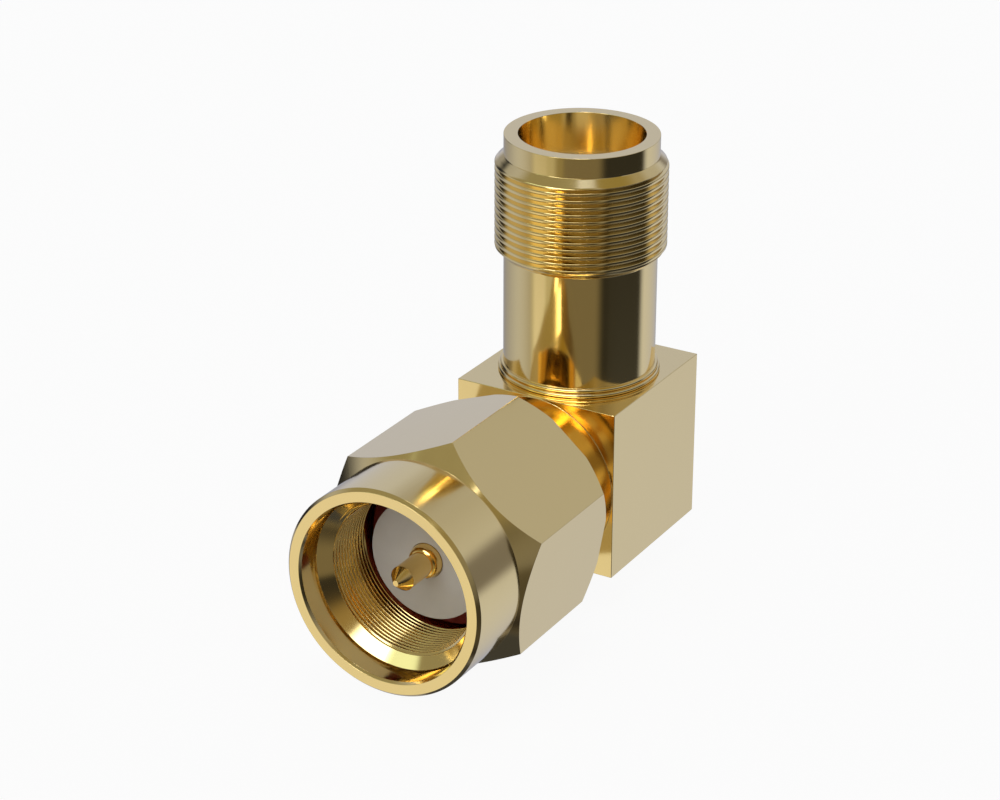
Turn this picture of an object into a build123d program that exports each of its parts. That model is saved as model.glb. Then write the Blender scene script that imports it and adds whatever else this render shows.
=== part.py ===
from build123d import *
import math
import os

"""Right-angle coaxial adapter: a square elbow block, a threaded jack and a plug with a captive nut.

Frame, in millimetres: the origin is the centre of the jack's reference plane, which is the shoulder
at the bottom of its bore. The jack opens along +Z and the plug along -Y. X is across both.

Each piece is drawn from the point where the two coaxial lines cross, inside the block, and moved to
the frame when it is written. Turned pieces are half outlines of (radius, height) pairs. Heights of
the jack's pieces run up from the crossing, and heights of the plug's pieces run forward of it.
"""

# Elbow block
block_size = 6.6
boss_height = 0.03
boss_margin = 0.03

# Coaxial line: the conductors and the plastic between them
contact_radius = 0.635
line_radius = 2.08
slip_clearance = 0.01

# Jack shell, from the block's top face upwards
jack_spigot_wall = 0.52
jack_spigot_depth = 0.65
foot_ring_width = 0.17
foot_ring_height = 0.33
foot_ring_rounding = 0.12
neck_radius = 2.84
neck_height = 4.65
thread_height = 0.335
thread_length = 3.2
thread_root_chamfer = 0.3
thread_lead_chamfer = 0.3
nose_radius = 2.85
nose_length = 0.75
nose_edge = 0.06
jack_shoulder_width = 0.25
jack_bore_depth = 1.9

# Socket contact
socket_recess = 0.1
socket_wall = 0.165
socket_hole_depth = 2.8
socket_slot_width = 0.16
socket_slot_length = 2.0
socket_lead = 0.07
socket_tail = 0.9

# Plug line, from the block's front face forwards
plug_reach = 7.57
pin_radius = 0.46
pin_projection = 2.03
pin_taper = 0.45
pin_tip_radius = 0.11
pin_shoulder_reach = 0.35
pin_shoulder_rounding = 0.12
pin_tail_radius = 0.45
pin_tail_reach = 0.25
face_flange_thickness = 0.25

# Plug shell: walls measured out from the line
shell_front_wall = 0.19
shell_front_length = 1.62
shell_body_wall = 0.52
shell_neck_wall = 0.27
shell_neck_length = 1.27
shell_spigot_depth = 0.65
ring_groove_depth = 0.22
ring_groove_width = 1.0
ring_setback = 3.37

# Snap ring, split so that it opens
ring_thickness = 0.4
ring_bite = 0.23
ring_groove_clearance = 0.05
ring_side_clearance = 0.02
ring_split_angle = 32.0

# Face gasket
gasket_front_setback = 1.17
gasket_thickness = 0.65
gasket_bore_clearance = 0.05
gasket_rim_clearance = 0.13
gasket_rounding = 0.1

# Coupling nut, from its mouth backwards
nut_overhang = 2.93
nut_length = 8.51
collar_wall = 0.49
collar_length = 2.68
mouth_bevel_width = 0.11
mouth_bevel_length = 0.12
hex_across_flats = 8.0
hex_corner_turn = 20.0
hex_front_chamfer_angle = 45.0
hex_rear_chamfer_angle = 38.5
rear_rim_rise = 0.08
counterbore_step = 0.57
counterbore_depth = 1.0
counterbore_ledge = 0.1
nut_thread_height = 0.335
nut_thread_end = 3.35
undercut_step = 0.31
undercut_end = 5.15
nut_bore_clearance = 0.05
nut_bore_chamfer = 0.15

# Rear access opening and its plastic button
cap_seat_width = 0.52
cap_thickness = 1.1
cap_recess = 0.06
cap_bevel = 0.08
button_thickness = 1.0
button_hole_radius = 0.8
button_hole_depth = 0.2

block_half = block_size / 2
jack_foot = block_half
thread_start = jack_foot + neck_height + thread_root_chamfer
thread_end = thread_start + thread_length
nose_start = thread_end + thread_lead_chamfer
jack_top = nose_start + nose_length
jack_face = jack_top - jack_bore_depth
jack_spigot_end = jack_foot - jack_spigot_depth

boss_face = block_half + boss_height
plug_face = block_half + plug_reach
shell_front = plug_face - face_flange_thickness
shell_shoulder = shell_front - shell_front_length
shell_body_end = boss_face + shell_neck_length
shell_spigot_end = block_half - shell_spigot_depth
ring_middle = plug_face - ring_setback
nut_mouth = plug_face + nut_overhang
nut_rear = nut_mouth - nut_length
cap_inner = block_half - cap_recess - cap_thickness

thread_radius = neck_radius + thread_height
foot_ring_radius = neck_radius + foot_ring_width
jack_spigot_radius = line_radius + jack_spigot_wall
jack_bore_radius = line_radius + jack_shoulder_width
socket_hole_radius = contact_radius - socket_wall
shell_front_radius = line_radius + shell_front_wall
shell_body_radius = line_radius + shell_body_wall
shell_neck_radius = line_radius + shell_neck_wall
ring_groove_radius = shell_body_radius - ring_groove_depth
nut_bore_radius = shell_body_radius + nut_bore_clearance
ring_outer_radius = nut_bore_radius + ring_bite
nut_thread_radius = thread_radius - nut_thread_height
undercut_radius = nut_thread_radius + undercut_step
counterbore_radius = nut_thread_radius + counterbore_step
collar_radius = counterbore_radius + collar_wall
rear_rim_radius = hex_across_flats / 2 + rear_rim_rise
cap_radius = line_radius + cap_seat_width


def turned(outline: list[tuple[float, float]]) -> Part:
    """Spin a closed half outline of (radius, height) pairs about Z."""
    face = make_face(Polyline(*[(r, 0, h) for r, h in outline], close=True))
    return revolve(face, Axis.Z, 360)


def forward(piece: Part) -> Part:
    """Lay a piece drawn along +Z on the plug's axis, so that its height runs along -Y."""
    return Rot(90, 0, 0) * piece


def make_body_block() -> Part:
    """Elbow block with the two line bores, a turned boss in front and the opening behind."""
    block = Box(block_size, block_size, block_size)
    boss = Cylinder(block_half - boss_margin, boss_height, align=(Align.CENTER, Align.CENTER, Align.MIN))
    block += forward(Pos(0, 0, block_half) * boss)
    from_below = (Align.CENTER, Align.CENTER, Align.MIN)
    plug_cavity = Cylinder(line_radius, boss_face + cap_inner, align=from_below)
    block -= forward(Pos(0, 0, -cap_inner) * plug_cavity)
    plug_seat = Cylinder(shell_neck_radius + slip_clearance, boss_face - shell_spigot_end, align=from_below)
    block -= forward(Pos(0, 0, shell_spigot_end) * plug_seat)
    jack_cavity = Cylinder(line_radius, block_half, align=from_below)
    block -= jack_cavity
    jack_seat = Cylinder(jack_spigot_radius + slip_clearance, jack_spigot_depth, align=from_below)
    block -= Pos(0, 0, jack_spigot_end) * jack_seat
    cap_seat = Cylinder(cap_radius + slip_clearance, block_half - cap_inner, align=from_below)
    block -= forward(Pos(0, 0, -block_half) * cap_seat)
    return block


def make_jack_barrel() -> Part:
    """Jack's outer conductor: foot ring, neck, thread at its major size, nose and stepped bore."""
    rounding = foot_ring_rounding
    foot_top = jack_foot + foot_ring_height
    return turned([
        (line_radius, jack_spigot_end),
        (jack_spigot_radius, jack_spigot_end),
        (jack_spigot_radius, jack_foot),
        (foot_ring_radius - rounding / 2, jack_foot),
        (foot_ring_radius, jack_foot + rounding),
        (foot_ring_radius, foot_top - rounding),
        (foot_ring_radius - rounding, foot_top),
        (neck_radius, foot_top),
        (neck_radius, jack_foot + neck_height),
        (thread_radius, thread_start),
        (thread_radius, thread_end),
        (nose_radius, nose_start),
        (nose_radius, jack_top - nose_edge),
        (nose_radius - nose_edge, jack_top),
        (jack_bore_radius + nose_edge, jack_top),
        (jack_bore_radius, jack_top - nose_edge),
        (jack_bore_radius, jack_face),
        (line_radius, jack_face),
    ])


def make_jack_insulator() -> Part:
    """Plastic tube between the jack's two conductors, flush with the shoulder in the bore."""
    outer = line_radius - slip_clearance
    inner = contact_radius + slip_clearance
    return turned([
        (inner, jack_spigot_end),
        (outer, jack_spigot_end),
        (outer, jack_face),
        (inner, jack_face),
    ])


def make_jack_socket() -> Part:
    """Socket contact: a slotted sleeve on top, and a cross hole that takes the plug's contact."""
    top = jack_face - socket_recess
    hole_end = top - socket_hole_depth
    socket = turned([
        (0, -socket_tail),
        (contact_radius, -socket_tail),
        (contact_radius, top),
        (socket_hole_radius + socket_lead, top),
        (socket_hole_radius, top - socket_lead),
        (socket_hole_radius, hole_end),
        (0, hole_end - socket_hole_radius / 2),
    ])
    reach = 2 * contact_radius + socket_slot_width
    for turn in (0, 90):
        slot = Box(reach, socket_slot_width, socket_slot_length, align=(Align.CENTER, Align.CENTER, Align.MAX))
        socket -= Pos(0, 0, top) * Rot(0, 0, turn + 45) * slot
    socket -= Rot(90, 0, 0) * Cylinder(pin_tail_radius + slip_clearance, reach)
    return socket


def make_plug_shell() -> Part:
    """Plug's outer conductor: front barrel, gasket shoulder, ring groove, neck and spigot."""
    groove_front = ring_middle + ring_groove_width / 2
    groove_rear = ring_middle - ring_groove_width / 2
    return forward(turned([
        (line_radius, shell_spigot_end),
        (shell_neck_radius, shell_spigot_end),
        (shell_neck_radius, shell_body_end),
        (shell_body_radius, shell_body_end),
        (shell_body_radius, groove_rear),
        (ring_groove_radius, groove_rear),
        (ring_groove_radius, groove_front),
        (shell_body_radius, groove_front),
        (shell_body_radius, shell_shoulder),
        (shell_front_radius, shell_shoulder),
        (shell_front_radius, shell_front),
        (line_radius, shell_front),
    ]))


def make_plug_insulator() -> Part:
    """Plastic tube of the plug's line, with a thin flange that covers the shell's front end."""
    outer = line_radius - slip_clearance
    inner = contact_radius + slip_clearance
    return forward(turned([
        (inner, shell_spigot_end),
        (outer, shell_spigot_end),
        (outer, shell_front),
        (shell_front_radius, shell_front),
        (shell_front_radius, plug_face),
        (inner, plug_face),
    ]))


def make_plug_pin() -> Part:
    """Pin contact: pointed pin, rounded shoulder, conductor and the thin tail in the socket's hole."""
    tip = plug_face + pin_projection
    shoulder = plug_face + pin_shoulder_reach
    rounding = pin_shoulder_rounding
    tail_start = contact_radius + slip_clearance
    tail_end = -contact_radius - pin_tail_reach
    return forward(turned([
        (0, tail_end),
        (pin_tail_radius, tail_end),
        (pin_tail_radius, tail_start),
        (contact_radius, tail_start),
        (contact_radius, shoulder - rounding),
        (contact_radius - rounding / 3, shoulder - rounding / 3),
        (pin_radius, shoulder),
        (pin_radius, tip - pin_taper),
        (pin_tip_radius, tip),
        (0, tip),
    ]))


def make_snap_ring() -> Part:
    """Split ring that sits in the nut's groove and floats in the shell's wider groove."""
    inner = ring_groove_radius + ring_groove_clearance
    rear = ring_middle - ring_thickness / 2
    front = ring_middle + ring_thickness / 2
    ring = turned([
        (inner, rear),
        (ring_outer_radius, rear),
        (ring_outer_radius, front),
        (inner, front),
    ])
    reach = 2 * ring_outer_radius
    wedge = make_face(Polyline(
        (0, 0),
        PolarLine((0, 0), reach, ring_split_angle / 2) @ 1,
        PolarLine((0, 0), reach, -ring_split_angle / 2) @ 1,
        close=True,
    ))
    ring -= Pos(0, 0, rear - ring_thickness / 2) * extrude(wedge, amount=2 * ring_thickness)
    return forward(Rot(0, 0, -90) * ring)


def make_gasket() -> Part:
    """Flat rubber ring round the shell's front barrel, just ahead of the shell's shoulder."""
    front = plug_face - gasket_front_setback
    rear = front - gasket_thickness
    inner = shell_front_radius + gasket_bore_clearance
    outer = undercut_radius - gasket_rim_clearance
    rounding = gasket_rounding
    return forward(turned([
        (inner, rear),
        (outer - rounding, rear),
        (outer, rear + rounding),
        (outer, front - rounding),
        (outer - rounding, front),
        (inner + rounding, front),
        (inner, front - rounding),
    ]))


def make_coupling_nut() -> Part:
    """Hexagon nut with a round collar, counterbored mouth, thread at its minor size and ring groove."""
    corner_radius = hex_across_flats / 3**0.5
    blank_radius = corner_radius + mouth_bevel_width
    collar_end = nut_mouth - collar_length
    front_run = (blank_radius - collar_radius) / math.tan(math.radians(hex_front_chamfer_angle))
    rear_run = (blank_radius - rear_rim_radius) / math.tan(math.radians(hex_rear_chamfer_angle))
    ledge_radius = counterbore_radius - counterbore_ledge
    ledge_height = nut_mouth - counterbore_depth
    thread_front = ledge_height - (ledge_radius - nut_thread_radius)
    thread_rear = nut_mouth - nut_thread_end
    undercut_rear = nut_mouth - undercut_end
    bore = nut_bore_radius
    groove_radius = ring_outer_radius + ring_groove_clearance
    groove_front = ring_middle + ring_thickness / 2 + ring_side_clearance
    groove_rear = ring_middle - ring_thickness / 2 - ring_side_clearance
    blank = turned([
        (bore + nut_bore_chamfer, nut_rear),
        (rear_rim_radius, nut_rear),
        (blank_radius, nut_rear + rear_run),
        (blank_radius, collar_end - front_run),
        (collar_radius, collar_end),
        (collar_radius, nut_mouth - mouth_bevel_length),
        (collar_radius - mouth_bevel_width, nut_mouth),
        (counterbore_radius, nut_mouth),
        (counterbore_radius, ledge_height),
        (ledge_radius, ledge_height),
        (nut_thread_radius, thread_front),
        (nut_thread_radius, thread_rear),
        (undercut_radius, thread_rear),
        (undercut_radius, undercut_rear),
        (bore, undercut_rear),
        (bore, groove_front),
        (groove_radius, groove_front),
        (groove_radius, groove_rear),
        (bore, groove_rear),
        (bore, nut_rear + nut_bore_chamfer),
    ])
    hexagon = extrude(RegularPolygon(corner_radius, 6, rotation=hex_corner_turn), amount=nut_length)
    return forward(blank & Pos(0, 0, nut_rear) * hexagon)


def make_elbow_button() -> Part:
    """Plastic button behind the joined contacts, inside the access opening."""
    outer = line_radius - slip_clearance
    inner_face = cap_inner - button_thickness
    return forward(turned([
        (0, -cap_inner),
        (outer, -cap_inner),
        (outer, -inner_face),
        (button_hole_radius, -inner_face),
        (button_hole_radius, -inner_face - button_hole_depth),
        (0, -inner_face - button_hole_depth),
    ]))


def make_access_cap() -> Part:
    """Round cap pressed into the block's rear face."""
    outer_face = cap_inner + cap_thickness
    return forward(turned([
        (0, -outer_face),
        (cap_radius - cap_bevel, -outer_face),
        (cap_radius, -outer_face + cap_bevel),
        (cap_radius, -cap_inner),
        (0, -cap_inner),
    ]))


pieces = {
    "body_block": make_body_block(),
    "jack_barrel": make_jack_barrel(),
    "jack_insulator": make_jack_insulator(),
    "jack_socket": make_jack_socket(),
    "plug_shell": make_plug_shell(),
    "plug_insulator": make_plug_insulator(),
    "plug_pin": make_plug_pin(),
    "snap_ring": make_snap_ring(),
    "gasket": make_gasket(),
    "coupling_nut": make_coupling_nut(),
    "elbow_button": make_elbow_button(),
    "access_cap": make_access_cap(),
}

to_frame = Pos(0, 0, -jack_face)
os.makedirs("parts", exist_ok=True)
for name, piece in pieces.items():
    export_step(to_frame * piece, f"parts/{name}.step")
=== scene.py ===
"""Looks of a gold-plated right-angle coaxial adapter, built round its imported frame.

A square elbow block carries a threaded jack, which points up, and a plug with a captive hexagon nut, which
points forward. Sizes are millimetres from the point where the two coaxial lines cross inside the block: a
height runs up the jack's line, or forward or backward along the plug's. Axis turns them into the frame's
metres.
"""

import logging
import math
from collections.abc import Callable
from dataclasses import dataclass, replace
from enum import Enum

import bmesh
import bpy
import numpy as np
from mathutils import Matrix, Vector


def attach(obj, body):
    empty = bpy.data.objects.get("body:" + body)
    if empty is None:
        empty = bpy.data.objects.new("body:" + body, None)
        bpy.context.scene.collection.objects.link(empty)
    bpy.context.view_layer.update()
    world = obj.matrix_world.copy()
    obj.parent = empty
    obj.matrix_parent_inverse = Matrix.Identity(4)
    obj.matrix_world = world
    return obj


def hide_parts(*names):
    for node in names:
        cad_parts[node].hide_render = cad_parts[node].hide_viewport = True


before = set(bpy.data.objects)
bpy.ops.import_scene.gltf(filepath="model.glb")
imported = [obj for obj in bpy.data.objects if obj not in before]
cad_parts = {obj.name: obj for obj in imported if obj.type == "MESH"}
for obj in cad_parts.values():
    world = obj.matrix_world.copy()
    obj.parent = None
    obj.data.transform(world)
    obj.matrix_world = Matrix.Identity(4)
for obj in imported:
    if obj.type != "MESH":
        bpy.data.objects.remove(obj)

log = logging.getLogger("adapter")

MM = 0.001
CROSSING = np.array((0.0, 0.0, -10.6))
COLUMNS = 256
JOIN_DISTANCE = 1e-7

BLOCK_SIZE = 6.6
LINE_RADIUS = 2.08
CONTACT_RADIUS = 0.635
SPIGOT_END = 2.65
SLIP = 0.01


class Axis(Enum):
    """Lines and faces of the adapter: two directions across each, then the direction along it."""

    JACK = ((1, 0, 0), (0, 1, 0), (0, 0, 1))
    PLUG = ((1, 0, 0), (0, 0, 1), (0, -1, 0))
    REAR = ((-1, 0, 0), (0, 0, 1), (0, 1, 0))
    RIGHT = ((0, 1, 0), (0, 0, 1), (1, 0, 0))
    LEFT = ((0, 0, 1), (0, 1, 0), (-1, 0, 0))
    BOTTOM = ((0, 1, 0), (1, 0, 0), (0, 0, -1))

    def place(self, local: np.ndarray) -> np.ndarray:
        """Local (across, across, along) points as frame points, still in millimetres."""
        return local @ np.array(self.value, float) + CROSSING

    def spin(self, outline: np.ndarray, angles: np.ndarray) -> np.ndarray:
        """Turn an outline about this line: radius times cosine and sine of each angle, and its height.

        Args:
            outline: (radius, height) pairs, as (rows, 2), or (rows, columns, 2) where they differ by angle.
            angles: one angle for each column, in radians.

        Returns:
            Frame points as (rows, columns, 3).
        """
        pairs = outline if outline.ndim == 3 else outline[:, None, :]
        radius = np.broadcast_to(pairs[..., 0], (len(pairs), len(angles)))
        height = np.broadcast_to(pairs[..., 1], radius.shape)
        return self.place(np.stack((radius * np.cos(angles), radius * np.sin(angles), height), axis=-1))


def full_turn(columns: int = COLUMNS) -> np.ndarray:
    """Evenly spaced angles once round, without the last."""
    return np.arange(columns) * (2 * math.pi / columns)


def rounded(outline: np.ndarray, radius: float, steps: int = 3, closed: bool = True) -> np.ndarray:
    """Round an outline's corners with arcs that touch both sides.

    The arc from one side to the other is the rational quadratic curve whose middle weight is the cosine of
    half the turn. Its reach along each side is radius times the tangent of half the turn, kept under half
    of the shorter side.

    Args:
        outline: (corners, 2) or (corners, columns, 2) points.
        radius: radius of the arcs.
        steps: straight steps in each arc.
        closed: whether the last point joins the first; an open outline keeps its two ends.

    Returns:
        The same kind of array, with steps + 1 points for each corner.
    """
    before = outline - np.roll(outline, 1, axis=0)
    after = np.roll(before, -1, axis=0)
    before_length = np.linalg.norm(before, axis=-1, keepdims=True) + 1e-12
    after_length = np.linalg.norm(after, axis=-1, keepdims=True) + 1e-12
    cosine = np.sum(before * after, axis=-1, keepdims=True) / (before_length * after_length)
    half_turn = np.arccos(np.clip(cosine, -1, 1)) / 2
    reach = np.minimum(radius * np.tan(half_turn), 0.45 * np.minimum(before_length, after_length))
    if not closed:
        reach[0] = reach[-1] = 0
    start = outline - before / before_length * reach
    end = outline + after / after_length * reach
    t = np.linspace(0, 1, steps + 1).reshape((1, -1) + (1,) * (outline.ndim - 1))
    weight = np.cos(half_turn)[:, None]
    low, middle, high = (1 - t) ** 2, 2 * t * (1 - t) * weight, t**2
    arc = (low * start[:, None] + middle * outline[:, None] + high * end[:, None]) / (low + middle + high)
    arc = arc.reshape((-1,) + outline.shape[1:])
    return np.concatenate((arc, arc[:1])) if closed else arc


@dataclass(frozen=True)
class Thread:
    """A V thread: one helical groove with a narrow flat root, between flat crests.

    Fields:
        pitch: height of one turn.
        depth: depth of the groove.
        crest: share of the pitch that the crest's flat takes.
        outside: whether the groove is cut inwards, from an outside surface.
        root: share of the pitch that the groove's flat bottom takes.
        ease: half the share of the pitch over which a crest's edge is bevelled.
    """

    pitch: float
    depth: float
    crest: float
    outside: bool
    root: float = 0.08
    ease: float = 0.03

    def section(self) -> tuple[np.ndarray, np.ndarray]:
        """Half a groove, a bevelled edge and half a crest, then the same mirrored.

        Returns:
            Phases within one pitch, and the groove's depth there, from 0 at the crest to 1 at the root.
        """
        edge, half_root = (1 - self.crest) / 2, self.root / 2
        lip = self.ease / (edge - half_root)
        phases = np.array((half_root, edge - self.ease, edge + self.ease, 0.5))
        depths = np.array((1.0, lip, 0.0, 0.0))
        return np.concatenate((phases, 1 - phases[2::-1])), np.concatenate((depths, depths[2::-1]))

    def surface(
        self,
        crest_radius: float,
        low: tuple[float, float],
        high: tuple[float, float],
        slopes: tuple[float, float],
        angles: np.ndarray,
    ) -> tuple[np.ndarray, int]:
        """Thread between two plain rings: height is pitch times (turn + phase + angle over a full turn).

        Heights stop at the two rings. The radius is the crest's less the groove's depth, and a cone that
        rises from each ring cuts it off.

        Args:
            crest_radius: radius of the crest's flat.
            low: (radius, height) of the lower ring.
            high: (radius, height) of the upper ring.
            slopes: rise of radius over height of the lower and the upper cone.
            angles: one angle for each column.

        Returns:
            (radius, height) pairs as (rows, columns, 2), and how many rows higher the last column meets the
            first one.
        """
        phases, depths = self.section()
        turns = int(math.ceil((high[1] - low[1]) / self.pitch)) + 3
        phase = (np.arange(turns)[:, None] - 2 + phases).ravel()
        depth = np.tile(depths, turns)[:, None]
        height = low[1] + self.pitch * (phase[:, None] + angles / (2 * math.pi))
        height = np.clip(height, low[1], high[1])
        side = 1 if self.outside else -1
        radius = side * np.minimum.reduce((
            side * crest_radius - self.depth * depth + 0 * height,
            side * low[0] + (height - low[1]) * slopes[0],
            side * high[0] + (high[1] - height) * slopes[1],
        ))
        return np.stack((radius, height), axis=-1), len(phases)


Lean = Callable[[np.ndarray, np.ndarray], np.ndarray]


class Shell:
    """Closed surface of one piece, gathered as grids of points and then joined where they meet."""

    def __init__(self, name: str) -> None:
        """Start an empty surface.

        Args:
            name: the piece's name.
        """
        self.name = name
        self.points: list[np.ndarray] = []
        self.quads: list[np.ndarray] = []
        self.count = 0

    def add(self, points: np.ndarray, wraps: bool = True, shift: int = 0) -> None:
        """Add a grid of points and the faces between them.

        Args:
            points: (rows, columns, 3) frame points in millimetres.
            wraps: whether the last column joins the first.
            shift: how many rows higher the last column meets the first.
        """
        rows, columns = points.shape[:2]
        index = np.arange(rows * columns).reshape(rows, columns) + self.count
        if wraps:
            meeting = np.minimum(np.arange(rows) + shift, rows - 1)
            index = np.concatenate((index, index[meeting, :1]), axis=1)
        corners = (index[:-1, :-1], index[:-1, 1:], index[1:, 1:], index[1:, :-1])
        self.quads.append(np.stack(corners, axis=-1).reshape(-1, 4))
        self.points.append(points.reshape(-1, 3))
        self.count += rows * columns

    @staticmethod
    def normals(mesh: bpy.types.Mesh) -> np.ndarray:
        """Normal at each vertex: the sum of its faces' normals times their areas keeps flat faces flat.

        Args:
            mesh: the finished mesh.

        Returns:
            Unit normals, as (vertices, 3).
        """
        facing, area = np.empty(len(mesh.polygons) * 3), np.empty(len(mesh.polygons))
        corners, vertex = np.empty(len(mesh.polygons), np.int32), np.empty(len(mesh.loops), np.int32)
        mesh.polygons.foreach_get("normal", facing)
        mesh.polygons.foreach_get("area", area)
        mesh.polygons.foreach_get("loop_total", corners)
        mesh.loops.foreach_get("vertex_index", vertex)
        share = np.repeat(facing.reshape(-1, 3) * area[:, None], corners, axis=0)
        total = np.stack([np.bincount(vertex, part, len(mesh.vertices)) for part in share.T], axis=1)
        return total / np.linalg.norm(total, axis=1, keepdims=True)

    def build(self, lean: Lean | None = None) -> bpy.types.Object:
        """Join the grids and make the smooth-shaded object, with every face pointing outwards.

        Args:
            lean: changes the vertices' normals before they are set.

        Returns:
            The object, at the origin, with its place in its mesh.
        """
        points, quads = np.concatenate(self.points) * MM, np.concatenate(self.quads)
        mesh = bpy.data.meshes.new(self.name)
        mesh.vertices.add(len(points))
        mesh.vertices.foreach_set("co", points.astype(np.float32).ravel())
        mesh.loops.add(quads.size)
        mesh.loops.foreach_set("vertex_index", quads.astype(np.int32).ravel())
        mesh.polygons.add(len(quads))
        mesh.polygons.foreach_set("loop_start", np.arange(0, quads.size, 4, dtype=np.int32))
        mesh.update(calc_edges=True)
        joined = bmesh.new()
        joined.from_mesh(mesh)
        bmesh.ops.remove_doubles(joined, verts=joined.verts, dist=JOIN_DISTANCE)
        bmesh.ops.dissolve_degenerate(joined, edges=joined.edges, dist=JOIN_DISTANCE)
        bmesh.ops.recalc_face_normals(joined, faces=joined.faces)
        open_edges = sum(1 for edge in joined.edges if not edge.is_manifold)
        joined.to_mesh(mesh)
        joined.free()
        mesh.shade_smooth()
        normals = self.normals(mesh)
        if lean is not None:
            corners = np.empty(len(mesh.vertices) * 3)
            mesh.vertices.foreach_get("co", corners)
            normals = lean(corners.reshape(-1, 3) / MM - CROSSING, normals)
        mesh.normals_split_custom_set_from_vertices(normals.tolist())
        made = bpy.data.objects.new(self.name, mesh)
        bpy.context.scene.collection.objects.link(made)
        log.info("%s: %d faces, %d open edges", self.name, len(mesh.polygons), open_edges)
        return made


def turned(
    name: str, axis: Axis, outline: list[tuple[float, float]], edge: float, columns: int = COLUMNS
) -> Shell:
    """Turn one closed outline, or one that starts and ends on the line, with its corners rounded.

    Args:
        name: the piece's name.
        axis: line that it is turned about.
        outline: (radius, height) corners in order.
        edge: radius of the rounded corners.
        columns: how many steps make the full turn.

    Returns:
        The surface, not yet built.
    """
    corners = np.array(outline, float)
    closed = bool(corners[0, 0] > 0)
    shell = Shell(name)
    shell.add(axis.spin(rounded(corners, edge, closed=closed), full_turn(columns)))
    return shell


@dataclass
class ElbowBlock:
    """Square block with a turned boss in front, the jack's seat on top and the cap's seat behind."""

    size: float = BLOCK_SIZE
    line_radius: float = LINE_RADIUS
    boss_radius: float = 3.27
    boss_height: float = 0.03
    shell_seat: float = 2.36
    jack_seat: float = 2.61
    cap_seat: float = 2.61
    seat_depth: float = 0.65
    cap_depth: float = 1.16
    middle_radius: float = 3.1
    blank_radius: float = 1.6
    edge: float = 0.022

    def face(self, shell: Shell, axis: Axis, outline: list[tuple[float, float]]) -> None:
        """One face: a turned middle, then rows that widen from its last circle to the square's edge.

        A point of the outer rows lies on the square of its row at its own angle. Beyond the flat part it
        moves onto the rounded edge: the nearest point of the block less its edge radius, plus the edge
        radius along the line from there to the point.

        Args:
            shell: surface that the face is added to.
            axis: line through the face's middle.
            outline: (radius, height) corners of the turned middle, from the inside out.
        """
        half = self.size / 2
        angles = full_turn()
        middle = rounded(np.array(outline, float), self.edge, closed=False)
        shell.add(axis.spin(middle, angles))
        square = 1 / np.maximum(np.abs(np.cos(angles)), np.abs(np.sin(angles)))
        inner = half - self.edge
        sides = inner + self.edge * np.tan(np.radians(np.linspace(0, 45, 6)))
        radius = np.concatenate((np.full((1, len(angles)), middle[-1, 0]), sides[:, None] * square))
        height = np.full(radius.shape, half)
        flat = np.stack((radius * np.cos(angles), radius * np.sin(angles), height), axis=-1)
        core = np.clip(flat, -inner, inner)
        step = flat - core
        step *= self.edge / np.linalg.norm(step, axis=-1, keepdims=True)
        shell.add(axis.place(core + step))

    def crossing(self, shell: Shell) -> None:
        """Inside of the two line bores, which have one radius, so that they meet in two flat curves.

        The jack's bore runs down to a height of radius times the sine's size at each angle. The front and
        rear halves of the plug's bore end at radius times the sine where that is above the line, and in
        the middle elsewhere.

        Args:
            shell: surface that the bores are added to.
        """
        angles = full_turn()
        meet = self.line_radius * np.sin(angles)
        half = self.size / 2
        for axis, end in (
            (Axis.JACK, np.abs(meet)),
            (Axis.PLUG, np.maximum(meet, 0)),
            (Axis.REAR, np.maximum(meet, 0)),
        ):
            depth = self.cap_depth if axis is Axis.REAR else self.seat_depth
            heights = np.stack((np.full(len(angles), half - depth), end))
            radii = np.full(heights.shape, self.line_radius)
            shell.add(axis.spin(np.stack((radii, heights), axis=-1), angles))

    def build(self) -> bpy.types.Object:
        """Make the block as one closed surface.

        Returns:
            The block.
        """
        half, bore = self.size / 2, self.line_radius
        seat, cap_floor, boss = half - self.seat_depth, half - self.cap_depth, half + self.boss_height
        middle_end = (self.middle_radius, half)
        shell = Shell("elbow_block")
        self.face(shell, Axis.PLUG, [
            (bore, seat), (self.shell_seat, seat), (self.shell_seat, boss),
            (self.boss_radius, boss), (self.boss_radius, half),
        ])
        self.face(shell, Axis.JACK, [
            (bore, seat), (self.jack_seat, seat), (self.jack_seat, half), middle_end,
        ])
        self.face(shell, Axis.REAR, [
            (bore, cap_floor), (self.cap_seat, cap_floor), (self.cap_seat, half), middle_end,
        ])
        for axis in (Axis.RIGHT, Axis.LEFT, Axis.BOTTOM):
            self.face(shell, axis, [(0, half), (self.blank_radius, half), middle_end])
        self.crossing(shell)
        return shell.build()


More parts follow.
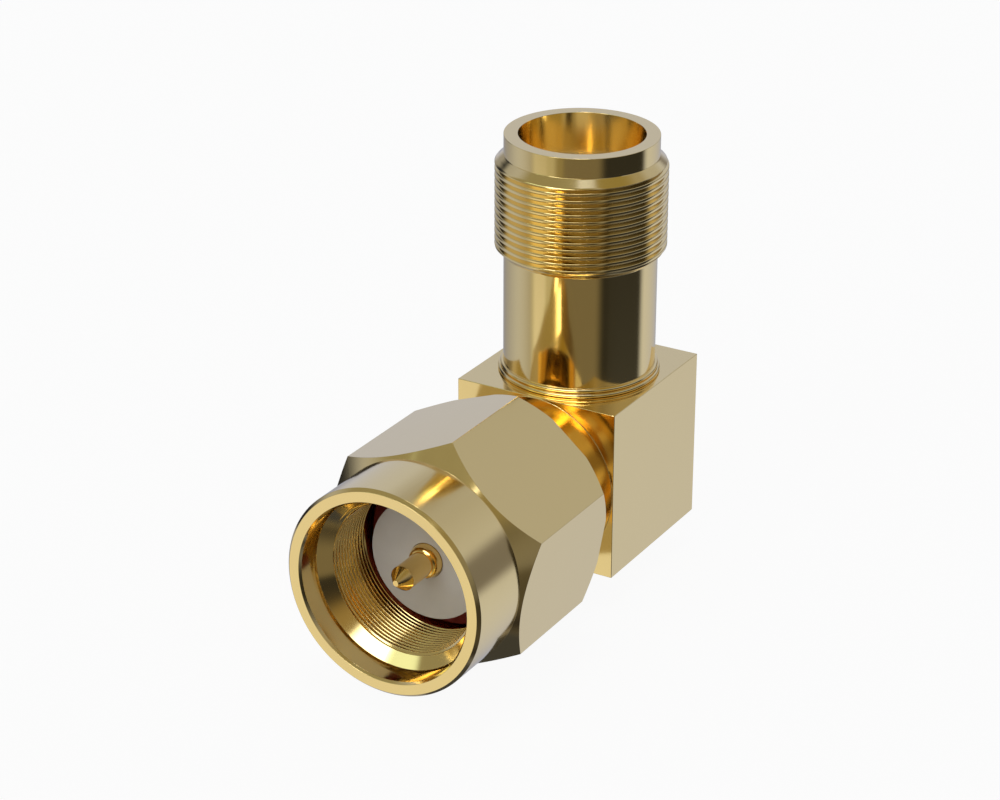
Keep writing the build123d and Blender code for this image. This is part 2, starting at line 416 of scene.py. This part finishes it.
@dataclass
class Jack:
    """Jack: turned barrel with a beaded foot, a thread and a bare nose, and its plastic.

    Fields that need a word:
        thread_low, thread_high: heights of the plain rings below and above the thread.
        chamfer: height of the cone at either end of the thread.
        bore_lean: how far the shading of the bore's wall is turned up, in degrees.
        touch: how near a vertex lies to the bore's radius to be on its wall.
    """

    foot: float = BLOCK_SIZE / 2
    spigot_radius: float = 2.6
    spigot_end: float = SPIGOT_END
    line_radius: float = LINE_RADIUS
    bead_radii: tuple[float, float] = (3.03, 2.955)
    bead_height: float = 0.165
    neck_radius: float = 2.84
    thread_low: float = 7.95
    thread_high: float = 11.75
    thread_radius: float = 3.175
    chamfer: float = 0.3
    nose_radius: float = 2.85
    top: float = 12.5
    bore_radius: float = 2.33
    shoulder: float = 10.6
    bore_lean: float = 7.5
    contact_radius: float = CONTACT_RADIUS
    slip: float = SLIP
    touch: float = 1e-4
    edge: float = 0.015
    plastic_edge: float = 0.03
    thread: Thread = Thread(pitch=0.267, depth=0.145, crest=0.42, outside=True)

    def foot_beads(self) -> list[tuple[float, float]]:
        """Two half-round beads, one on the other: each is a half circle of points about its own middle.

        Returns:
            (radius, height) pairs, from the foot up.
        """
        half = self.bead_height / 2
        swing = np.radians(np.linspace(-80, 80, 9))
        pairs: list[tuple[float, float]] = []
        for number, radius in enumerate(self.bead_radii):
            middle = self.foot + half * (2 * number + 1)
            across = radius - half + half * np.cos(swing)
            pairs += list(zip(across.tolist(), (middle + half * np.sin(swing)).tolist()))
        return pairs

    def lean(self, points: np.ndarray, normals: np.ndarray) -> np.ndarray:
        """Shade the bore as if it opened a little towards its mouth; its shape stays a true cylinder.

        Args:
            points: the barrel's vertices, from the crossing.
            normals: their normals.

        Returns:
            The normals, with those of the bore's wall turned up.
        """
        wall = np.abs(np.hypot(points[:, 0], points[:, 1]) - self.bore_radius) < self.touch
        wall &= points[:, 2] > self.shoulder
        angle = math.radians(self.bore_lean)
        normals[wall] = normals[wall] * math.cos(angle) + np.array((0, 0, math.sin(angle)))
        return normals

    def barrel(self) -> bpy.types.Object:
        """Outer conductor: its plain outline from the thread's top round to its foot, and the thread.

        Returns:
            The barrel.
        """
        angles = full_turn()
        low, high = (self.neck_radius, self.thread_low), (self.nose_radius, self.thread_high)
        bead_top = self.foot + 2 * self.bead_height
        outline = [
            high,
            (self.nose_radius, self.thread_high + self.edge),
            (self.nose_radius, self.top),
            (self.bore_radius, self.top),
            (self.bore_radius, self.shoulder),
            (self.line_radius, self.shoulder),
            (self.line_radius, self.spigot_end),
            (self.spigot_radius, self.spigot_end),
            (self.spigot_radius, self.foot),
            *self.foot_beads(),
            (self.neck_radius, bead_top),
            (self.neck_radius, self.thread_low - self.edge),
            low,
        ]
        shell = Shell("jack_shell")
        shell.add(Axis.JACK.spin(rounded(np.array(outline, float), self.edge, closed=False), angles))
        rise = self.thread_radius - self.neck_radius, self.thread_radius - self.nose_radius
        slopes = rise[0] / self.chamfer, rise[1] / self.chamfer
        pairs, shift = self.thread.surface(self.thread_radius, low, high, slopes, angles)
        shell.add(Axis.JACK.spin(pairs, angles), shift=shift)
        return shell.build(self.lean)

    def plastic(self) -> bpy.types.Object:
        """Plastic tube between the two conductors.

        Returns:
            The tube.
        """
        outer, inner = self.line_radius - self.slip, self.contact_radius + self.slip
        outline = [
            (inner, self.spigot_end), (outer, self.spigot_end),
            (outer, self.shoulder), (inner, self.shoulder),
        ]
        return turned("jack_plastic", Axis.JACK, outline, self.plastic_edge).build()


@dataclass
class Plug:
    """Plug: shell, plastic with a round face, pointed contact and rubber ring."""

    line_radius: float = LINE_RADIUS
    spigot_radius: float = 2.35
    spigot_end: float = SPIGOT_END
    neck_end: float = 4.6
    body_radius: float = 2.6
    groove_radius: float = 2.38
    groove: tuple[float, float] = (7.0, 8.0)
    shoulder: float = 9.0
    front_radius: float = 2.27
    front: float = 10.62
    face: float = 10.87
    contact_radius: float = CONTACT_RADIUS
    contact_start: float = 0.645
    contact_end: float = 11.22
    contact_shoulder: tuple[float, float] = (0.17, 0.33)
    tail_radius: float = 0.45
    tail_start: float = -0.885
    slip: float = SLIP
    pin_radius: float = 0.46
    pin_end: float = 12.9
    pin_taper: float = 0.45
    tip_radius: float = 0.11
    gasket_radii: tuple[float, float] = (2.32, 3.02)
    gasket_faces: tuple[float, float] = (9.05, 9.7)
    edge: float = 0.015
    plastic_edge: float = 0.03
    contact_edge: float = 0.012
    gasket_edge: float = 0.1

    def shell(self) -> bpy.types.Object:
        """Outer conductor of the plug, with the seats of its gasket and of the nut's ring.

        Returns:
            The shell.
        """
        rear, front = self.groove
        outline = [
            (self.line_radius, self.spigot_end), (self.spigot_radius, self.spigot_end),
            (self.spigot_radius, self.neck_end), (self.body_radius, self.neck_end),
            (self.body_radius, rear), (self.groove_radius, rear),
            (self.groove_radius, front), (self.body_radius, front),
            (self.body_radius, self.shoulder), (self.front_radius, self.shoulder),
            (self.front_radius, self.front), (self.line_radius, self.front),
        ]
        return turned("plug_barrel", Axis.PLUG, outline, self.edge).build()

    def plastic(self) -> bpy.types.Object:
        """Plastic tube of the plug's line, with the thin round flange that shows.

        Returns:
            The tube.
        """
        outer, inner = self.line_radius - self.slip, self.contact_radius + self.slip
        outline = [
            (inner, self.spigot_end), (outer, self.spigot_end), (outer, self.front),
            (self.front_radius, self.front), (self.front_radius, self.face), (inner, self.face),
        ]
        return turned("plug_plastic", Axis.PLUG, outline, self.plastic_edge).build()

    def contact(self) -> bpy.types.Object:
        """Contact: thin tail, conductor with a shoulder that is a quarter of an ellipse, and pointed pin.

        Returns:
            The contact.
        """
        across, along = self.contact_shoulder
        swing = np.radians(np.linspace(0, 90, 7))
        shoulder = zip(
            (self.contact_radius - across + across * np.cos(swing)).tolist(),
            (self.contact_end - along + along * np.sin(swing)).tolist(),
        )
        outline = [
            (0, self.tail_start), (self.tail_radius, self.tail_start),
            (self.tail_radius, self.contact_start), (self.contact_radius, self.contact_start),
            *shoulder, (self.pin_radius, self.contact_end),
            (self.pin_radius, self.pin_end - self.pin_taper),
            (self.tip_radius, self.pin_end), (0, self.pin_end),
        ]
        return turned("plug_contact", Axis.PLUG, outline, self.contact_edge, COLUMNS // 2).build()

    def gasket(self) -> bpy.types.Object:
        """Flat rubber ring with rounded edges."""
        (inner, outer), (rear, front) = self.gasket_radii, self.gasket_faces
        outline = [(inner, rear), (outer, rear), (outer, front), (inner, front)]
        return turned("face_gasket", Axis.PLUG, outline, self.gasket_edge).build()


@dataclass
class Nut:
    """Coupling nut: hexagon between two turned cones, round collar, inside thread, and its snap ring.

    Fields that need a word:
        bevel, lip: width and length of the mouth's outer and inner bevels.
        foot: width and length of the small bevel where the counterbore meets its ledge.
        ledge_slope: rise of radius over height of the cone from the ledge down to the thread.
        thread_ease: how far the thread's rear and front rings stand outside its crests.
        ring_groove: radius, rear and front of the groove that holds the snap ring.
        hair: a distance too small to see.
    """

    across_flats: float = 8.0
    corner_turn: float = 20.0
    corner_edge: float = 0.03
    rear: float = 5.29
    mouth: float = 13.8
    rim_radius: float = 4.08
    rear_cone: float = 38.5
    collar_radius: float = 3.9
    collar_start: float = 11.12
    bevel: tuple[float, float] = (0.11, 0.12)
    counterbore: float = 3.34
    lip: tuple[float, float] = (0.07, 0.10)
    foot: tuple[float, float] = (0.035, 0.12)
    ledge: float = 12.84
    ledge_slope: float = 1.19
    thread_radius: float = 2.84
    thread_rear: float = 10.38
    thread_ease: tuple[float, float] = (0.13, 0.16)
    rear_slope: float = 5.0
    undercut: float = 3.15
    undercut_rear: float = 8.65
    bore: float = 2.65
    bore_chamfer: float = 0.15
    ring_groove: tuple[float, float, float] = (2.93, 7.28, 7.72)
    ring_radii: tuple[float, float] = (2.43, 2.88)
    ring_faces: tuple[float, float] = (7.3, 7.7)
    ring_split: float = 32.0
    ring_edge: float = 0.03
    hair: float = 0.02
    edge: float = 0.015
    thread: Thread = Thread(pitch=0.176, depth=0.12, crest=0.3, outside=False)

    def section(self, steps: int = 36) -> tuple[np.ndarray, np.ndarray]:
        """Hexagon's section: straight flats joined by small arcs at the corners.

        A flat's points lie at the flat's distance, evenly spread along it. A corner's points lie on a
        circle of the corner's edge radius, about a point on the line to the corner.

        Args:
            steps: straight steps along each flat.

        Returns:
            The angle and the radius of each point, in order round the nut.
        """
        flat, edge = self.across_flats / 2, self.corner_edge
        reach = (flat - edge) * math.tan(math.pi / 6)
        along = np.linspace(-reach, reach, steps + 1)
        swing = math.pi / 6 + np.radians((-15.0, 0.0, 15.0))
        middle = (flat - edge) / math.cos(math.pi / 6)
        corner = middle * np.exp(1j * math.pi / 6) + edge * np.exp(1j * swing)
        side = np.concatenate((flat + 1j * along, corner))
        turns = np.exp(1j * np.radians(self.corner_turn + 30 + 60 * np.arange(6)))
        outline = (turns[:, None] * side).ravel()
        angles = np.unwrap(np.angle(outline))
        return angles, np.abs(outline)

    def body(self) -> bpy.types.Object:
        """Nut: its outline at each angle follows the hexagon's radius there; the thread closes it inside.

        A point a hair outside the thread's front ring keeps the cone's shading from that of the thread.

        Returns:
            The nut.
        """
        angles, hexagon = self.section()
        flat = np.ones_like(hexagon)
        front_run = hexagon - self.collar_radius
        rim = np.minimum(self.rim_radius, hexagon - self.hair)
        rear_run = (hexagon - rim) / math.tan(math.radians(self.rear_cone))
        bevel_width, bevel_length = self.bevel
        lip_width, lip_length = self.lip
        groove_radius, groove_rear, groove_front = self.ring_groove
        foot_width, foot_length = self.foot
        ledge_radius = self.counterbore - foot_width
        rear_radius, entry_radius = (self.thread_radius + ease for ease in self.thread_ease)
        entry = (entry_radius, self.ledge - (ledge_radius - entry_radius) / self.ledge_slope)
        run_out = (rear_radius, self.thread_rear)
        corners = [
            entry,
            (entry[0] + self.hair, entry[1] + self.hair / self.ledge_slope),
            (ledge_radius, self.ledge),
            (self.counterbore, self.ledge + foot_length),
            (self.counterbore, self.mouth - lip_length),
            (self.counterbore + lip_width, self.mouth),
            (self.collar_radius - bevel_width, self.mouth),
            (self.collar_radius, self.mouth - bevel_length),
            (self.collar_radius, self.collar_start),
            (hexagon, self.collar_start - front_run),
            (hexagon, self.rear + rear_run),
            (rim, self.rear),
            (self.bore + self.bore_chamfer, self.rear),
            (self.bore, self.rear + self.bore_chamfer),
            (self.bore, groove_rear),
            (groove_radius, groove_rear),
            (groove_radius, groove_front),
            (self.bore, groove_front),
            (self.bore, self.undercut_rear),
            (self.undercut, self.undercut_rear),
            (self.undercut, self.thread_rear),
            run_out,
        ]
        outline = np.array([(radius * flat, height * flat) for radius, height in corners]).transpose(0, 2, 1)
        shell = Shell("hex_nut")
        shell.add(Axis.PLUG.spin(rounded(outline, self.edge, closed=False), angles))
        slopes = (self.rear_slope, self.ledge_slope)
        pairs, shift = self.thread.surface(self.thread_radius, run_out, entry, slopes, angles - angles[0])
        shell.add(Axis.PLUG.spin(pairs, angles), shift=shift)
        return shell.build()

    def ring(self) -> bpy.types.Object:
        """Snap ring: its rounded section carried round all but the split, and closed at both ends.

        Returns:
            The ring.
        """
        half_split = math.radians(self.ring_split) / 2
        angles = np.linspace(half_split, 2 * math.pi - half_split, 160) - math.pi / 2
        (inner, outer), (rear, front) = self.ring_radii, self.ring_faces
        corners = np.array([(inner, rear), (outer, rear), (outer, front), (inner, front)])
        section = rounded(corners, self.ring_edge)
        points = Axis.PLUG.spin(section, angles)
        shell = Shell("nut_snap_ring")
        shell.add(points, wraps=False)
        for end in (points[:, 0], points[:, -1]):
            shell.add(np.stack((end, np.broadcast_to(end[:-1].mean(axis=0), end.shape))), wraps=False)
        return shell.build()


@dataclass
class AccessCap:
    """Round cap pressed into the block's rear face."""

    radius: float = 2.6
    inner: float = 2.14
    outer: float = 3.24
    bevel: float = 0.08
    edge: float = 0.015

    def build(self) -> bpy.types.Object:
        """Make the cap, with a shallow bevel round its outer face.

        Returns:
            The cap.
        """
        outline = [
            (0, self.inner), (self.radius, self.inner), (self.radius, self.outer - self.bevel),
            (self.radius - self.bevel, self.outer), (0, self.outer),
        ]
        return turned("rear_cap", Axis.REAR, outline, self.edge).build()


@dataclass(frozen=True)
class StudioCamera:
    """Camera at the photograph's place: fitted distances in millimetres, angles in degrees."""

    target: tuple[float, float, float] = (-3.175, -0.43, -9.276)
    azimuth: float = 30.433
    elevation: float = 24.456
    distance: float = 106.29
    roll: float = 0.1094
    lens: float = 100.16
    sensor: float = 36.0
    reach: tuple[float, float] = (0.001, 10.0)

    def build(self) -> None:
        """Place the camera on its line of sight and turn it level, but for the small roll."""
        azimuth, elevation = math.radians(self.azimuth), math.radians(self.elevation)
        level = math.cos(elevation)
        sight = Vector((math.sin(azimuth) * level, -math.cos(azimuth) * level, math.sin(elevation)))
        right = (-sight).cross(Vector((0, 0, 1))).normalized()
        upward = right.cross(-sight)
        turn, lean = math.cos(math.radians(self.roll)), math.sin(math.radians(self.roll))
        across, up = turn * right + lean * upward, turn * upward - lean * right
        data = bpy.data.cameras.new("studio_camera")
        data.sensor_width, data.lens = self.sensor, self.lens
        data.clip_start, data.clip_end = self.reach
        made = bpy.data.objects.new("studio_camera", data)
        place = Matrix.Translation((Vector(self.target) + sight * self.distance) * MM)
        made.matrix_world = place @ Matrix((across, up, sight)).transposed().to_4x4()
        bpy.context.scene.collection.objects.link(made)
        bpy.context.scene.camera = made


class Sock:
    """A node's output, with the arithmetic that shaders here are written in."""

    def __init__(self, sheet: "Sheet", socket: bpy.types.NodeSocket) -> None:
        """Wrap one output of a node on a sheet."""
        self.sheet, self.socket = sheet, socket

    def math(self, operation: str, *values: "Sock | float") -> "Sock":
        """One Math node on this value and the others, in order."""
        return self.sheet.math(operation, self, *values)

    def __add__(self, other: "Sock | float") -> "Sock":
        """Sum."""
        return self.math("ADD", other)

    __radd__ = __add__

    def __sub__(self, other: "Sock | float") -> "Sock":
        """Difference."""
        return self.math("SUBTRACT", other)

    def __rsub__(self, other: float) -> "Sock":
        """Difference the other way round."""
        return self.sheet.math("SUBTRACT", other, self)

    def __mul__(self, other: "Sock | float") -> "Sock":
        """Product."""
        return self.math("MULTIPLY", other)

    __rmul__ = __mul__

    def __truediv__(self, other: "Sock | float") -> "Sock":
        """Quotient."""
        return self.math("DIVIDE", other)

    def __abs__(self) -> "Sock":
        """Size without its sign."""
        return self.math("ABSOLUTE")

    def fade(self, start: float, end: float) -> "Sock":
        """Smooth step from 0 at start to 1 at end."""
        settings = {"interpolation_type": "SMOOTHSTEP"}
        inputs = {"Value": self, "From Min": start, "From Max": end}
        return self.sheet.out("ShaderNodeMapRange", settings, inputs)


NOISE_RANGE = (0.3, 0.7)


class Sheet:
    """A node tree that is being written."""

    def __init__(self, tree: bpy.types.NodeTree) -> None:
        """Write on this tree."""
        self.tree = tree

    def node(
        self,
        kind: str,
        settings: dict[str, object] | None = None,
        inputs: dict[str | int, object] | None = None,
    ) -> bpy.types.Node:
        """Make one node.

        Args:
            kind: the node's type.
            settings: its properties, set first.
            inputs: values or outputs for its sockets, by name or place.

        Returns:
            The node.
        """
        made = self.tree.nodes.new(kind)
        for key, value in (settings or {}).items():
            setattr(made, key, value)
        for key, value in (inputs or {}).items():
            if isinstance(value, Sock):
                self.tree.links.new(value.socket, made.inputs[key])
            else:
                made.inputs[key].default_value = value
        return made

    def out(
        self,
        kind: str,
        settings: dict[str, object] | None = None,
        inputs: dict[str | int, object] | None = None,
        name: str | int = 0,
    ) -> Sock:
        """Make one node, as above, and take one of its outputs, by name or place."""
        return Sock(self, self.node(kind, settings, inputs).outputs[name])

    def math(self, operation: str, *values: Sock | float) -> Sock:
        """Make one Math node."""
        return self.out("ShaderNodeMath", {"operation": operation}, dict(enumerate(values)))

    def noise(self, place: Sock, scale: float, detail: float) -> Sock:
        """Soft noise from 0 to 1 through space."""
        settings = {"noise_dimensions": "3D"}
        noise = self.out("ShaderNodeTexNoise", settings, {"Vector": place, "Scale": scale, "Detail": detail})
        return noise.fade(*NOISE_RANGE)

    def line_noise(self, along: Sock, scale: float) -> Sock:
        """Noise from 0 to 1 that changes with one distance alone."""
        inputs = {"W": along, "Scale": scale, "Detail": 3.0}
        return self.out("ShaderNodeTexNoise", {"noise_dimensions": "1D"}, inputs)

    def feed(self, shader: bpy.types.Node, name: str, value: Sock) -> None:
        """Link a value to a shader's input."""
        self.tree.links.new(value.socket, shader.inputs[name])

    def split(self, vector: Sock) -> tuple[Sock, Sock, Sock]:
        """Three parts of a vector."""
        made = self.node("ShaderNodeSeparateXYZ", None, {0: vector})
        return Sock(self, made.outputs[0]), Sock(self, made.outputs[1]), Sock(self, made.outputs[2])

    def blend(self, mask: Sock, below: Sock | tuple, above: Sock | tuple) -> Sock:
        """Colour that goes from one to the other with a mask."""
        colours = {"Factor": mask, 6: below, 7: above}
        return self.out("ShaderNodeMix", {"data_type": "RGBA"}, colours, name=2)


ALL_ROUND = 180
END_FACING = (0.35, 0.75)


@dataclass(frozen=True)
class Panel:
    """Soft-edged panel of the studio, by direction from the adapter, in degrees.

    Fields:
        turn: middle direction, counted from +X towards +Y.
        rise: middle height above the horizon.
        half: half width and half height.
        soft: how far the sides and the ends fade, each way.
        colour: light that comes from it, where 1 is white.
    """

    turn: float
    rise: float
    half: tuple[float, float]
    soft: tuple[float, float]
    colour: tuple[float, float, float]

    def mask(self, around: Sock, rise: Sock) -> Sock:
        """How much of the panel shows in each direction: one fading band across times one along.

        Args:
            around: direction from +X towards +Y, in degrees.
            rise: height above the horizon, in degrees.

        Returns:
            1 inside the panel, 0 outside, and between them where it fades.
        """
        mask = abs(rise - self.rise).fade(self.half[1] + self.soft[1], self.half[1] - self.soft[1])
        if self.half[0] < ALL_ROUND:
            turn = abs(around.math("WRAP", self.turn + ALL_ROUND, self.turn - ALL_ROUND) - self.turn)
            mask = mask * turn.fade(self.half[0] + self.soft[0], self.half[0] - self.soft[0])
        return mask


@dataclass(frozen=True)
class Studio:
    """Product studio: pale walls, lights above and to the front left, dark or dull boards round them.

    A later panel is painted over the ones before it. The panels' places and colours were fitted to the
    reflections on the gold, then rounded, and some lights were set one by one.
    """

    walls: tuple[float, float, float] = (0.67, 0.74, 1.01)
    floor_height: float = -15.25
    floor_radius: float = 600.0
    floor_grey: float = 0.85
    floor_white: float = 0.94
    panels: tuple[Panel, ...] = (
        Panel(145, 6, (44, 79), (71, 7), (0.26, 0.27, 0.32)),
        Panel(73, -63, (24, 12), (8, 6), (0.093, 0.12, 0.19)),
        Panel(84, 59, (38, 16), (3, 147), (0.21, 0.18, 0.072)),
        Panel(166, 4, (11, 20), (7, 4), (0.017, 0.019, 0.029)),
        Panel(108, 13, (32, 22), (6, 8), (0.50, 0.55, 0.76)),
        Panel(60, 1, (36, 12), (8, 5), (0.20, 0.20, 0.24)),
        Panel(-83, 11, (63, 61), (30, 3), (0.25, 0.22, 0.13)),
        Panel(-59, -3, (21, 21), (6, 13), (0.029, 0.027, 0.024)),
        Panel(-123, 40, (49, 39), (9, 6), (0.28, 0.27, 0.20)),
        Panel(-73, 13, (18, 13), (7, 22), (0.33, 0.23, 0.089)),
        Panel(-124, -38, (10, 16), (3, 5), (0.85, 0.83, 0.93)),
        Panel(-53, -54, (35, 41), (3, 4), (0.17, 0.15, 0.11)),
        Panel(6, -12, (38, 38), (8, 32), (0.026, 0.026, 0.026)),
        Panel(0, -56, (50, 9), (11, 12), (0.018, 0.016, 0.018)),
        Panel(17, 63, (38, 23), (6, 18), (0.26, 0.22, 0.092)),
        Panel(-119, -49, (19, 26), (5, 27), (0.71, 0.71, 0.62)),
        Panel(-91, 40, (27, 7), (3, 2), (3.2, 3.3, 3.3)),
        Panel(-130, 37, (17, 7), (3, 3), (0.93, 1.13, 1.02)),
        Panel(95, 47, (2, 5), (3, 3), (0.95, 0.72, 0.42)),
        Panel(0, -90, (ALL_ROUND, 25), (1, 4), (0.048, 0.052, 0.069)),
        Panel(0, 90, (ALL_ROUND, 7), (1, 2), (8.0, 8.0, 8.0)),
        Panel(-102, 17, (7, 13), (2, 3), (2.9, 3.0, 3.0)),
    )

    def world(self) -> None:
        """Paint the panels over the walls by direction; the camera itself sees plain white."""
        world = bpy.data.worlds.new("studio")
        world.use_nodes = True
        world.node_tree.nodes.clear()
        sheet = Sheet(world.node_tree)
        x, y, z = sheet.split(sheet.out("ShaderNodeTexCoord"))
        around = y.math("ARCTAN2", x) * math.degrees(1)
        rise = z.math("ARCSINE") * math.degrees(1)
        colour: Sock | tuple = (*self.walls, 1)
        for panel in self.panels:
            colour = sheet.blend(panel.mask(around, rise), colour, (*panel.colour, 1))
        camera = sheet.out("ShaderNodeLightPath", name="Is Camera Ray")
        light = sheet.out("ShaderNodeBackground", None, {"Color": sheet.blend(camera, colour, (1, 1, 1, 1))})
        sheet.node("ShaderNodeOutputWorld", None, {"Surface": light})
        bpy.context.scene.world = world

    def floor(self) -> None:
        """Pale floor under the nut: rings out to its edge, almost white to the camera, faintly shadowed."""
        radii = np.concatenate(((0.0,), np.geomspace(10, self.floor_radius, 12)))
        outline = np.stack((radii, np.full(len(radii), self.floor_height - CROSSING[2])), axis=-1)
        points = Axis.JACK.spin(outline, full_turn(96))
        shell = Shell("floor")
        shell.add(points)
        made = shell.build()
        material = bpy.data.materials.new("pale_floor")
        material.use_nodes = True
        material.node_tree.nodes.clear()
        sheet = Sheet(material.node_tree)
        camera = sheet.out("ShaderNodeLightPath", name="Is Camera Ray")
        pale = sheet.out("ShaderNodeBsdfDiffuse", None, {"Color": (*(self.floor_grey,) * 3, 1)})
        white = sheet.out("ShaderNodeEmission", None, {"Color": (1, 1, 1, 1), "Strength": 1.0})
        mixed = sheet.out("ShaderNodeMixShader", None, {0: camera * self.floor_white, 1: pale, 2: white})
        sheet.node("ShaderNodeOutputMaterial", None, {"Surface": mixed})
        made.data.materials.append(material)
        made.visible_glossy = False


def tool_path(sheet: Sheet, axis: Axis) -> Sock:
    """Distance that changes across the tool's marks, in millimetres.

    It is the height along the axis on surfaces that run beside it, and the distance from the axis on ends.

    Args:
        sheet: the material's node tree.
        axis: the line that the piece was turned about.

    Returns:
        The distance at each point.
    """
    place = sheet.split(sheet.out("ShaderNodeTexCoord", name="Object"))
    normal = sheet.split(sheet.out("ShaderNodeTexCoord", name="Normal"))
    centred = [part / MM - middle for part, middle in zip(place, CROSSING)]
    if axis is Axis.JACK:
        (across, beside, along), facing = centred, abs(normal[2])
    else:
        (across, along, beside), facing = centred, abs(normal[1])
    radius = (across * across + beside * beside).math("SQRT")
    on_ends = facing.fade(*END_FACING)
    return along + (radius - along) * on_ends


@dataclass(frozen=True)
class Finish:
    """Surface of one of the adapter's materials.

    Fields:
        name: the material's name.
        colour: base colour.
        roughness: smallest and largest roughness, which patches of wear run between.
        metallic: 1 for a metal.
        axis: the line that the tool's marks run round.
        marks: how many marks go into a millimetre.
        mark_depth: their depth in millimetres.
        grain: how many grains go into a millimetre.
        grain_depth: their depth in millimetres.
        tint: how much darker the colour gets in patches.
        patches: how many patches go into a millimetre.
    """

    name: str
    colour: tuple[float, float, float]
    roughness: tuple[float, float]
    metallic: float = 0.0
    axis: Axis = Axis.JACK
    marks: float = 14.0
    mark_depth: float = 0.0
    grain: float = 3.0
    grain_depth: float = 0.0
    tint: float = 0.0
    patches: float = 0.35

    def build(self) -> bpy.types.Material:
        """Make the material: marks and grain in the bump, patches in the roughness and the colour.

        Returns:
            The material.
        """
        material = bpy.data.materials.new(self.name)
        material.use_nodes = True
        sheet = Sheet(material.node_tree)
        shader = sheet.tree.nodes["Principled BSDF"]
        shader.inputs["Metallic"].default_value = self.metallic
        place = sheet.out("ShaderNodeTexCoord", name="Object")
        patches = sheet.noise(place, self.patches / MM, detail=3.0)
        smooth, worn = self.roughness
        sheet.feed(shader, "Roughness", smooth + patches * (worn - smooth))
        shaded = tuple(part * (1 - self.tint) for part in self.colour)
        sheet.feed(shader, "Base Color", sheet.blend(patches, (*self.colour, 1), (*shaded, 1)))
        marks = sheet.line_noise(tool_path(sheet, self.axis), self.marks)
        height = marks * self.mark_depth + sheet.noise(place, self.grain / MM, detail=2.0) * self.grain_depth
        bump = sheet.out("ShaderNodeBump", None, {"Strength": 1.0, "Distance": MM, "Height": height})
        sheet.feed(shader, "Normal", bump)
        return material


class Finishes:
    """The adapter's materials, each made once."""

    def __init__(self) -> None:
        """Make them all."""
        gold = Finish("gold_about_jack", (1.0, 0.77, 0.34), (0.09, 0.14), metallic=1.0, mark_depth=0.00012)
        pin_gold = Finish(
            "contact_gold", (1.0, 0.71, 0.27), (0.06, 0.1), metallic=1.0, axis=Axis.PLUG, mark_depth=0.0002,
        )
        plastic = Finish(
            "plastic_about_jack", (0.64, 0.61, 0.58), (0.38, 0.5), marks=9.0, mark_depth=0.002, tint=0.1,
        )
        rubber = Finish("red_rubber", (0.26, 0.025, 0.018), (0.5, 0.65), grain=12.0, grain_depth=0.008)
        self.jack_gold = gold.build()
        self.plug_gold = replace(gold, name="gold_about_plug", axis=Axis.PLUG).build()
        self.contact_gold = pin_gold.build()
        self.jack_plastic = plastic.build()
        self.plug_plastic = replace(plastic, name="plastic_about_plug", axis=Axis.PLUG).build()
        self.rubber = rubber.build()


def main() -> None:
    """Build the adapter and its studio."""
    logging.basicConfig(level=logging.INFO, format="%(name)s: %(message)s")
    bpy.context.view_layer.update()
    bpy.context.scene.view_settings.view_transform = "Standard"
    StudioCamera().build()
    finishes = Finishes()
    jack, plug, nut = Jack(), Plug(), Nut()
    pieces = [
        (ElbowBlock().build(), "adapter", "body_block", "gold_plate", finishes.jack_gold),
        (jack.barrel(), "adapter", "jack_barrel", "gold_plate", finishes.jack_gold),
        (jack.plastic(), "adapter", "jack_insulator", "line_plastic", finishes.jack_plastic),
        (plug.shell(), "adapter", "plug_shell", "gold_plate", finishes.plug_gold),
        (plug.plastic(), "adapter", "plug_insulator", "line_plastic", finishes.plug_plastic),
        (plug.contact(), "adapter", "plug_pin", "contact_gold", finishes.contact_gold),
        (plug.gasket(), "adapter", "gasket", "gasket_rubber", finishes.rubber),
        (nut.body(), "nut", "coupling_nut", "gold_plate", finishes.plug_gold),
        (nut.ring(), "nut_ring", "snap_ring", "gold_plate", finishes.plug_gold),
        (AccessCap().build(), "adapter", "access_cap", "gold_plate", finishes.plug_gold),
    ]
    for piece, body, node, slot, material in pieces:
        piece.data.materials.append(material)
        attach(piece, body)
        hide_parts(node)
    for node, material in (("jack_socket", finishes.jack_gold), ("elbow_button", finishes.plug_plastic)):
        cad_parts[node].data.materials.clear()
        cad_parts[node].data.materials.append(material)
    studio = Studio()
    studio.world()
    studio.floor()


if __name__ == "__main__":
    main()
